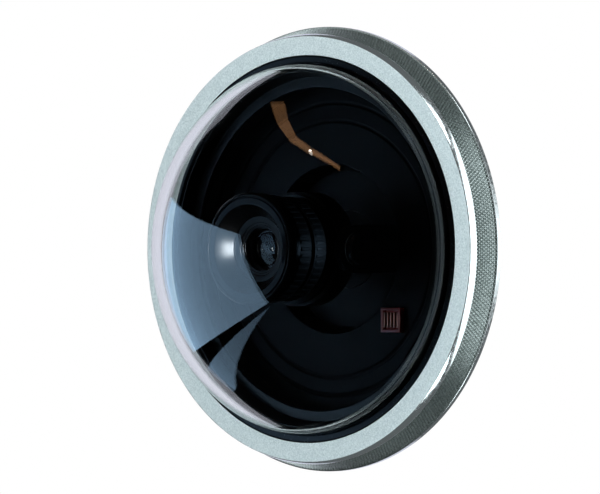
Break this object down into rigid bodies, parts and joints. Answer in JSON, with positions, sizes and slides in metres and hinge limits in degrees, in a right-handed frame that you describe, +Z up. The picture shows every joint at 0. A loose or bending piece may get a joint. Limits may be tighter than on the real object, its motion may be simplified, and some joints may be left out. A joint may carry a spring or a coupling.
{
  "type": "dome cctv camera",
  "caption": "Flush-mounted dome camera: a knurled trim ring clamps a clear dome over a varifocal lens on a pan, tilt and roll gimbal in a shallow round can.",
  "frame": {"origin": "centre of the flange's back face, on the surface that the camera is fixed to", "axes": "-Y out of the wall or ceiling, along the dome's axis towards what the camera watches; +Z up; +X to the right, seen from in front of the dome"},
  "size_m": [0.15, 0.0869, 0.15],
  "materials": {
    "silver_ring": "satin anodised face with a fine sparkle, polished bevel, diamond-knurled side",
    "clear_dome": "clear moulded polycarbonate, high gloss",
    "black_casting": "black powder coat, fine texture",
    "black_plastic": "black moulded plastic, fine spark texture",
    "lens_black": "black anodised and moulded lens parts, satin",
    "lens_glass": "coated optical glass",
    "rubber_seal": "black silicone rubber with specks of dust",
    "gland_nylon": "black moulded nylon",
    "steel_screw": "blackened and plain steel fasteners",
    "circuit_board": "green solder mask",
    "chip_resin": "moulded chip resin",
    "capacitor_can": "bare aluminium cans",
    "terminal_green": "green terminal plastic",
    "brass_socket": "plated brass",
    "red_plastic": "red connector plastic",
    "washer_plastic": "natural low-friction plastic"
  },
  "bodies": {
    "housing": {"housing_can": "black_casting", "wall_gasket": "rubber_seal", "rim_oring": "rubber_seal", "liner": "black_plastic", "liner_screws": "steel_screw", "gland_washer": "rubber_seal", "gland_body": "gland_nylon", "gland_locknut": "gland_nylon", "gland_cap": "gland_nylon", "gland_seal": "rubber_seal", "main_board": "circuit_board", "board_screws": "steel_screw", "video_processor": "chip_resin", "memory_chips": "chip_resin", "capacitors": "capacitor_can", "power_inductor": "chip_resin", "terminal_block": "terminal_green", "video_socket": "brass_socket", "board_cover": "black_plastic", "service_socket": "red_plastic", "gimbal_base": "black_casting", "gimbal_base_screws": "steel_screw", "pan_washer": "washer_plastic", "pan_retainer": "black_casting", "pan_retainer_screws": "steel_screw"},
    "dome_unit": {"dome": "clear_dome", "dome_gasket": "rubber_seal"},
    "ring_unit": {"trim_ring": "silver_ring"},
    "pan_unit": {"turntable": "black_casting", "yoke_arms": "black_casting", "yoke_screws": "steel_screw", "tilt_washers": "washer_plastic"},
    "tilt_unit": {"tilt_cradle": "black_casting", "trunnion_screws": "steel_screw"},
    "lens_unit": {"lens_holder": "lens_black", "roll_retainer": "lens_black", "sensor_board": "circuit_board", "sensor_board_screws": "steel_screw", "image_sensor": "chip_resin", "sensor_connector": "washer_plastic", "ir_filter": "lens_glass", "lens_barrel": "lens_black", "front_bezel": "lens_black", "front_lens": "lens_glass", "lens_lock_ring": "lens_black", "iris_plate": "lens_black", "middle_lens": "lens_glass", "rear_lens": "lens_glass"},
    "zoom_unit": {"zoom_ring": "lens_black", "zoom_lock_screw": "steel_screw"},
    "focus_unit": {"focus_ring": "lens_black", "focus_lock_screw": "steel_screw"}
  },
  "joints": [
    {"name": "dome_lift", "type": "slide", "parent": "housing", "child": "dome_unit", "axis": [0, -1, 0], "range_m": [0, 0.006]},
    {"name": "ring_turn", "type": "hinge", "parent": "dome_unit", "child": "ring_unit", "pos_m": [0, -0.006, 0], "axis": [0, -1, 0], "range_deg": [0, 1440]},
    {"name": "head_pan", "type": "hinge", "parent": "housing", "child": "pan_unit", "pos_m": [0, 0.011, 0], "axis": [0, -1, 0], "range_deg": [-170, 170]},
    {"name": "head_tilt", "type": "hinge", "parent": "pan_unit", "child": "tilt_unit", "pos_m": [0, -0.013, 0], "axis": [1, 0, 0], "range_deg": [-75, 75]},
    {"name": "lens_roll", "type": "hinge", "parent": "tilt_unit", "child": "lens_unit", "pos_m": [0, -0.013, 0], "axis": [0, -1, 0], "range_deg": [-90, 90]},
    {"name": "zoom_turn", "type": "hinge", "parent": "lens_unit", "child": "zoom_unit", "pos_m": [0, -0.0244, 0], "axis": [0, -1, 0], "range_deg": [0, 80]},
    {"name": "focus_turn", "type": "hinge", "parent": "lens_unit", "child": "focus_unit", "pos_m": [0, -0.0326, 0], "axis": [0, -1, 0], "range_deg": [0, 100]}
  ],
  "couplings": [
    {"joint": "dome_lift", "follows": "ring_turn", "m_per_rad": 0.00023873}
  ]
}
